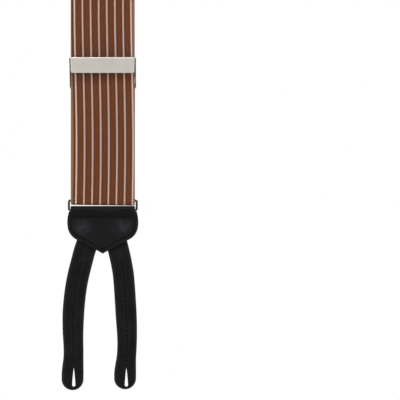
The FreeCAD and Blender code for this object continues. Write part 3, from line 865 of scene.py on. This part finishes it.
def face_wear_and_painted_light(x, z, near, away):
    """Above 0 where the crown's face is rubbed grey or has a painted sheen, below 0 where painted
    shade darkens it.
    """
    # a painted sheen where the face bulges out on both haunches
    painted_sheen = ridge(np.abs(x), 11.3, 4.4) * ridge(z, -14.4, 4.0)
    # painted shade on the underside of the roll and in the fold below it
    fold = 0.9 * smooth(-z, 5.8, 7.0) * (1 - smooth(-z, 9.6, 10.8))
    # painted shade along the seam's groove
    painted_seam_shade = 0.5 * ridge(away, SEAM_INSET, 0.7) * on_field(z) * calm(z)
    return np.maximum(edge_wear(z, near), painted_sheen) - np.maximum(fold, painted_seam_shade)


def sheet_of_leather(name, rows, body, replaces, end):
    """Leather that follows a profile: each row is (y, z, outward y, outward z, half width).

    Rows that look outwards from the wearer are the crown's face, with its relief.
    """
    steps = across_steps(91)
    points, wear_and_painted_light = [], []
    for y, z, out_y, out_z, half in rows:
        x = steps * half
        edge = half - np.abs(x)
        stand, away = np.zeros_like(x), edge
        if out_y < 0 and z < CROWN_TOP:
            stand, away = crown_relief(x, np.full_like(x, z))
        near = np.minimum(edge, away)
        lift = LEATHER_THICK / 2 * rounding(near, 0.6, 0.15)
        worn = edge_wear(z, near)
        outside, inside = stand + lift, np.minimum(stand, 0) - lift
        outer = [(a, y + out_y * out, z + out_z * out) for a, out in zip(x, outside)]
        inner = [(a, y + out_y * out, z + out_z * out) for a, out in zip(x, inside)]
        points += outer + inner[::-1]
        wear_and_painted_light += [*(face_wear_and_painted_light(x, z, near, away) if out_y < 0 else worn), *reversed(worn)]
    faces = loft_faces(len(rows), 2 * len(steps))
    return build(name, end.place(points), faces, LEATHER, body, replaces, wear_and_painted_light=wear_and_painted_light)


def make_crown(end):
    """Face leather from a flap behind, over the ring's lower bar and down, and its lining."""
    name, body, mid = end.name, f"{end.name}_crown_body", CROWN_CENTRE
    in_front, behind = mid + 0.52, mid + 0.62  # the thread's depths, sunk a little in the leather
    rows = [(mid, z, 1, 0, flap_half(z)) for z in np.linspace(-12.7, -BAR_SPACING, 18)]
    for angle in np.linspace(0, math.pi, 20)[1:-1]:
        rows.append((mid * math.cos(angle), -BAR_SPACING + 1.1 * mid * math.sin(angle),
                     math.cos(angle), math.sin(angle), ROLL_HALF))
    for z in np.concatenate([np.linspace(-BAR_SPACING, -21, 46), np.linspace(-21.2, -29.0, 32)]):
        rows.append((-mid, z, -1, 0, crown_half(z)))
    sheet_of_leather(f"{name}_crown_front", rows, body, [f"{name}_crown_face"], end)

    rows = [(mid, z, 1, 0, crown_half(z)) for z in np.linspace(-12.95, -29.0, 54)]
    sheet_of_leather(f"{name}_crown_back", rows, body, [f"{name}_crown_lining"], end)

    inner = inset_of(CROWN_EDGE, SEAM_INSET)
    inner = inner[inner[:, 1] < SEAM_TOP]
    field, level = both_sides(inner), inner[:1] * ((-1, 1), (1, 1))

    def face(x, z):
        return -in_front - float(crown_relief(np.array([x]), np.array([z]))[0][0])

    spots = seam_along(field, face, -1) + seam_along(level, face, -1)
    spots += seam_along(field, lambda x, z: behind, 1)
    stitches(f"{name}_crown_thread", placed(end, spots), BLACK_THREAD, body,
             [f"{name}_crown_stitching"], thick=0.31)


# ---------------------------------------------------------------- button loops

# centre lines, then (centre line, half width, how far the foot leans)
WIDE_LOOP = [(7.4, -20), (9.8, -27.1), (11.4, -33.0), (13.4, -41.0), (14.9, -49.2), (16.0, -60.0),
             (16.3, -71.0), (16.0, -82.0), (15.9, -92.0), (15.9, -97.8)]
SLIM_LOOP = [(6.8, -20), (8.6, -27.1), (10.4, -35.3), (11.5, -43.0), (12.6, -59.3), (13.3, -75.0),
             (13.0, -86.0), (12.9, -92.0), (12.9, -97.3)]
WIDE, SLIM = (WIDE_LOOP, 5.95, 0.65), (SLIM_LOOP, 5.8, -0.7)
BULB, SLOT_TOP, SLOT_BOTTOM, SLOT_HALF, SLOT_TAPER = 6.0, -91.6, -101.8, 0.9, 9.0
SEWN_TOP, SEWN_BOTTOM, SEWN_DEPTH = -33, -89, 0.9


def strand(line, half_width, lean, sign):
    """Rows of (inner point, outer point, height) down one strand and round under the slot."""
    z, heading = line[:, 1], headings(line)
    across = np.stack([-heading[:, 1], heading[:, 0]], 1) * sign
    slim_half = half_width - 0.5
    half = half_width + (slim_half - half_width) * smooth(-z, 60, 82)
    half += (BULB - slim_half) * smooth(-z, 84, 95)
    gap = SLOT_HALF * np.clip((SLOT_TOP - z) / SLOT_TAPER, 0, 1) ** 0.8
    leaning = np.stack([lean * smooth(-z, 82, 96), np.zeros_like(z)], 1)
    rows = list(zip(line + across * gap[:, None], line + across * half[:, None] + leaning, z))

    foot, low = line[-1], SLOT_BOTTOM + SLOT_HALF
    outer = [foot + (lean + BULB * sign * math.cos(a), -BULB * math.sin(a))
             for a in np.linspace(0, math.pi / 2, 19)[1:]]
    slot = [foot + (sign * gap[-1], 0)]
    slot += [(foot[0] + sign * SLOT_HALF * math.cos(a), low - SLOT_HALF * math.sin(a))
             for a in np.linspace(0, math.pi / 2, 9)]
    inner = resampled(np.array(slot), len(outer) + 1)[1:]
    return rows + [(a, b, b[1]) for a, b in zip(inner, outer)]


def make_loop(end, name, side, centre_line, half_width, lean):
    """A leather strip doubled back on itself: two strands that part round a button slot.

    Its round foot leans to one side of the slot.
    """
    line = curve_through(centre_line, 0.8)
    rows = strand(line, half_width, lean, 1) + strand(line, half_width, lean, -1)[::-1][1:]
    q = np.linspace(0, 1, 13)  # across a strand, from the slot to the outside
    crest = (1 - np.abs(2 * q - 1) ** 2.6) ** (1 / 2.6)
    rubbed = 0.85 * smooth(q, 0.72, 1.0) + 0.3 * (q < 0.05)
    points, wear_and_painted_light = [], []
    for inner, outer, height in rows:
        thick = 0.62 + float(0.74 * smooth(-height, 25, 32) - 0.15 * smooth(-height, 98, 103))
        thick += 0.05 * noise.noise(Vector((inner[0] / 7, height / 9, side * 3.1)))
        valley = 0.62 * (1 - float(smooth(-height, 90.5, 93.0)))  # where the strands are joined
        profile = np.maximum(crest, np.where(q < 0.5, max(valley, 0.1), 0.1))
        spots = inner + (outer - inner) * q[:, None]
        front = [(side * x, -thick * part, z) for (x, z), part in zip(spots, profile)]
        points += front + [(x, -y, z) for x, y, z in reversed(front)]
        wear_and_painted_light += [*rubbed, *reversed(rubbed)]
    body = f"{end.name}_crown_body"
    faces = loft_faces(len(rows), 2 * len(q))
    build(f"{end.name}_{name}_strands", end.place(points), faces, LEATHER, body,
          [f"{end.name}_{name}_loop"], wear_and_painted_light=wear_and_painted_light)

    sewn = line[(line[:, 1] < SEWN_TOP) & (line[:, 1] > SEWN_BOTTOM)] * (side, 1)
    spots = seam_along(sewn, lambda x, z: -SEWN_DEPTH, -1)
    spots += seam_along(sewn, lambda x, z: SEWN_DEPTH, 1)
    stitches(f"{end.name}_{name}_loop_thread", placed(end, spots), BLACK_THREAD, body,
             long=1.5, thick=0.2)


def make_runner(end, loops):
    """A crown and its two button loops."""
    make_crown(end)
    for name, side, shape in loops:
        make_loop(end, name, side, *shape)


# ---------------------------------------------------------------- crosspatch


def patch_edge():
    """The crosspatch's right-hand edge from its peak to its tip."""
    peak, shoulder, waist, tip = (0, 43), (41, 28), (23, -30), (0, -40)
    roof, side, ogee = (20.5, 34.7), (34.5, -5), (11.5, -34.7)
    return np.vstack([arc(peak, roof, shoulder, 30), arc(shoulder, side, waist, 40)[1:],
                      arc(waist, ogee, tip, 24)[1:]])


PATCH_EDGE = patch_edge()
PATCH_OUTLINE = both_sides(PATCH_EDGE)
PATCH_INSET, LINING_TOP = 3.0, 1.35


def straps_beneath(x, z):
    """How far the webbing stands above the lining under the crosspatch's face."""
    edge, clear = 17.7, 22.0  # from a strap's middle to its edge, and to where leather lies flat
    rear_level, left_level, right_level = 2.0, 1.3, 2.7
    rise = rear_level * (1 - smooth(np.abs(x), edge, clear)) * (1 - smooth(z, -6, -1))
    for side, level in ((1, left_level), (-1, right_level)):
        away = np.abs(x - side * (MEETING_OFFSET + z * math.tan(SPLAY))) * math.cos(SPLAY)
        strap = level * (1 - smooth(away, edge, clear)) * smooth(z, -13, -7)
        rise = np.maximum(rise, strap)
    return rise


def patch_surface(x, z):
    """(the depth of the crosspatch's face, distance from the edge) at a place."""
    away = distance_to(PATCH_OUTLINE, x, z)
    cover = LINING_TOP + straps_beneath(x, z) + LEATHER_THICK
    groove = 0.3 * ridge(away, PATCH_INSET, 0.45)
    return cover - groove - (1 - rounding(away, 0.7, 0.1)) * 0.6, away


def make_patch():
    """The crosspatch's face and lining, and the thread that joins them."""
    heights = np.linspace(42.9, -39.9, 150)
    halves = np.maximum(np.interp(heights, PATCH_EDGE[::-1, 1], PATCH_EDGE[::-1, 0]), 0.3)
    steps = across_steps(101)
    # the lining is the patch's front, which lies on the wearer's back
    for name, node in (("crosspatch_front", "lining"), ("crosspatch_back", "face")):
        points, wear_and_painted_light = [], []
        for z, half in zip(heights, halves):
            x = steps * half
            outer, away = patch_surface(x, np.full_like(x, z))
            rounded = rounding(away, 0.6, 0.15)
            if node == "face":
                top, bottom = outer, outer - LEATHER_THICK * rounded
            else:
                dent = 0.25 * ridge(away, PATCH_INSET, 0.45)
                middle = LEATHER_THICK / 2
                top, bottom = middle + middle * rounded, middle - (middle - dent) * rounded
            worn = 1 - smooth(away, 0.1, 1.1)
            points += [(a, y, z) for a, y in zip(x, top)]
            points += [(a, y, z) for a, y in zip(x[::-1], bottom[::-1])]
            wear_and_painted_light += [*worn, *reversed(worn)]
        faces = loft_faces(len(heights), 2 * len(steps))
        build(name, points, faces, LEATHER, "root", [f"crosspatch_{node}"], wear_and_painted_light=wear_and_painted_light)

    def over(x, z):
        return float(patch_surface(np.array([x]), np.array([z]))[0][0]) + 0.05

    inner = inset_of(PATCH_EDGE, PATCH_INSET)
    loop = np.vstack([both_sides(inner), inner[:1]])
    spots = seam_along(loop, over, 1)
    spots += seam_along(loop, lambda x, z: 0.22, -1)
    stitches("crosspatch_thread", spots, BLACK_THREAD, "root",
             ["crosspatch_stitching"], thick=0.24)


# ---------------------------------------------------------------- webbing's sewn ends


def row_of_stitches(y, z, outward, count=13):
    """Stitch spots right across the webbing."""
    offsets = (np.arange(count) - count // 2) * STITCH_PITCH
    return [((x, y, z), (1, 0, 0), (0, outward, 0)) for x in offsets]


def make_end_seams(end):
    """Two rows that close a front strap's end round the adjuster's foot bar."""
    back = FOOT_Y + FOOT_TURN + HALF_THICK + 0.02
    spots = []
    for below in (4.5, 8.5):
        spots += row_of_stitches(back, FOOT_Z - below, 1)
    stitches(f"{end.name}_end_thread", placed(end, spots), BROWN_THREAD, f"{end.name}_adjuster",
             [f"{end.name}_end_stitching"])


def make_rear_seams():
    """Two rows that close the rear strap's end, seen in front and behind."""
    outer, inner = LANE + HALF_THICK, -LANE + WEBBING_THICK + 0.05 + HALF_THICK
    spots = []
    for z in (13.0, 21.0):
        spots += row_of_stitches(-outer, z, -1) + row_of_stitches(inner, z, 1)
    stitches("rear_strap_thread", placed(REAR, spots), BROWN_THREAD, "root",
             ["rear_strap_stitching"])


# ---------------------------------------------------------------- lever adjuster

LEVER_HALF, LEVER_DROP, LEVER_THICK = 17.4, 7.1, 0.8
BARREL, BEND_RADIUS, CORNER_RADIUS, TOOTH_PITCH = 1.5, 0.6, 1.1, 2.6


def lever_section(x, shrink):
    """The plate's section at x: up the face, over the pin and down the back."""
    front, low = PIN_Y - BARREL, PIN_Z - LEVER_DROP
    corner = max(abs(x) - (LEVER_HALF - CORNER_RADIUS), 0) / CORNER_RADIUS
    foot = low + CORNER_RADIUS * (1 - math.sqrt(max(1 - corner**2, 0))) * 0.8
    face = []
    for z in np.linspace(foot, PIN_Z, 16):
        bow = 0.16 * math.sin(math.pi * min(max((z - low) / LEVER_DROP, 0), 1))
        face.append((front - bow + shrink, z))
    bend, barrel = BEND_RADIUS - shrink, BARREL - shrink
    brow = [(front + BEND_RADIUS - bend * math.cos(a),
             PIN_Z + BARREL - BEND_RADIUS + bend * math.sin(a))
            for a in np.linspace(0, math.radians(90), 9)]
    curl = [(PIN_Y - barrel * math.cos(a), PIN_Z + barrel * math.sin(a))
            for a in np.linspace(math.radians(90), math.radians(222), 14)]
    inside = front + LEVER_THICK - shrink
    back = [(inside, PIN_Z - 1.25), (inside, foot + 0.9), (inside, foot)]
    return [(x, y, z) for y, z in face + brow + curl + back]


def make_lever(end, teeth=13):
    """The front plate: sheet metal curled round its pin, with eased ends and gripping teeth."""
    eased = [(LEVER_HALF, 0.22), (LEVER_HALF - 0.06, 0.09), (LEVER_HALF - 0.22, 0.0)]
    places = [(-x, shrink) for x, shrink in eased]
    places += [(x, 0.0) for x in np.linspace(-LEVER_HALF + 0.5, LEVER_HALF - 0.5, 41)]
    places += reversed(eased)
    rings = [lever_section(x, shrink) for x, shrink in places]
    points = [point for ring in rings for point in ring]
    faces = loft_faces(len(rings), len(rings[0]))

    root, tip = (PIN_Y + 1.25, 0.6, 0.6), (PIN_Y + 2.1, 0.3, 0.1)
    for index in range(teeth):
        x, first = (index - (teeth - 1) / 2) * TOOTH_PITCH, len(points)
        for y, wide, high in (root, tip):
            points += [(x + i * wide, y, PIN_Z + j * high)
                       for i, j in ((-1, -1), (1, -1), (1, 1), (-1, 1))]
        faces += loft_faces(2, 4, first)
    lever = build(f"{end.name}_lever_plate", end.place(points), faces, NICKEL, f"{end.name}_lever",
                  [f"{end.name}_adjuster_lever"])
    sharpen(lever)


def sharpen(piece, angle=38):
    """Keeps a metal piece's corners crisp where faces meet at more than this angle."""
    shaper = bmesh.new()
    shaper.from_mesh(piece.data)
    for edge in shaper.edges:
        edge.smooth = len(edge.link_faces) != 2 or edge.calc_face_angle() < math.radians(angle)
    shaper.to_mesh(piece.data)
    shaper.free()


def finish_metal():
    """Gives the CAD pieces that stay their finishes; the frames get nickel darkened with painted
    shade.
    """
    for end in ("left", "right"):
        # the frames are nickel darkened with painted shade
        repaint(f"{end}_adjuster_frame", NICKEL_WITH_PAINTED_SHADE)
        repaint(f"{end}_adjuster_pin", NICKEL)
    for end in ("left", "right", "rear"):
        repaint(f"{end}_ring", WIRE)


def repaint(node, material):
    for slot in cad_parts[node].material_slots:
        slot.material = material


# ---------------------------------------------------------------- the whole

for front in (LEFT, RIGHT):
    make_front_webbing(front)
    make_end_seams(front)
    make_lever(front)
    make_runner(front, [("inner", -front.side, WIDE), ("outer", front.side, SLIM)])
make_rear_webbing()
make_rear_seams()
make_patch()
make_runner(REAR, [("left", 1, SLIM), ("right", -1, SLIM)])
finish_metal()
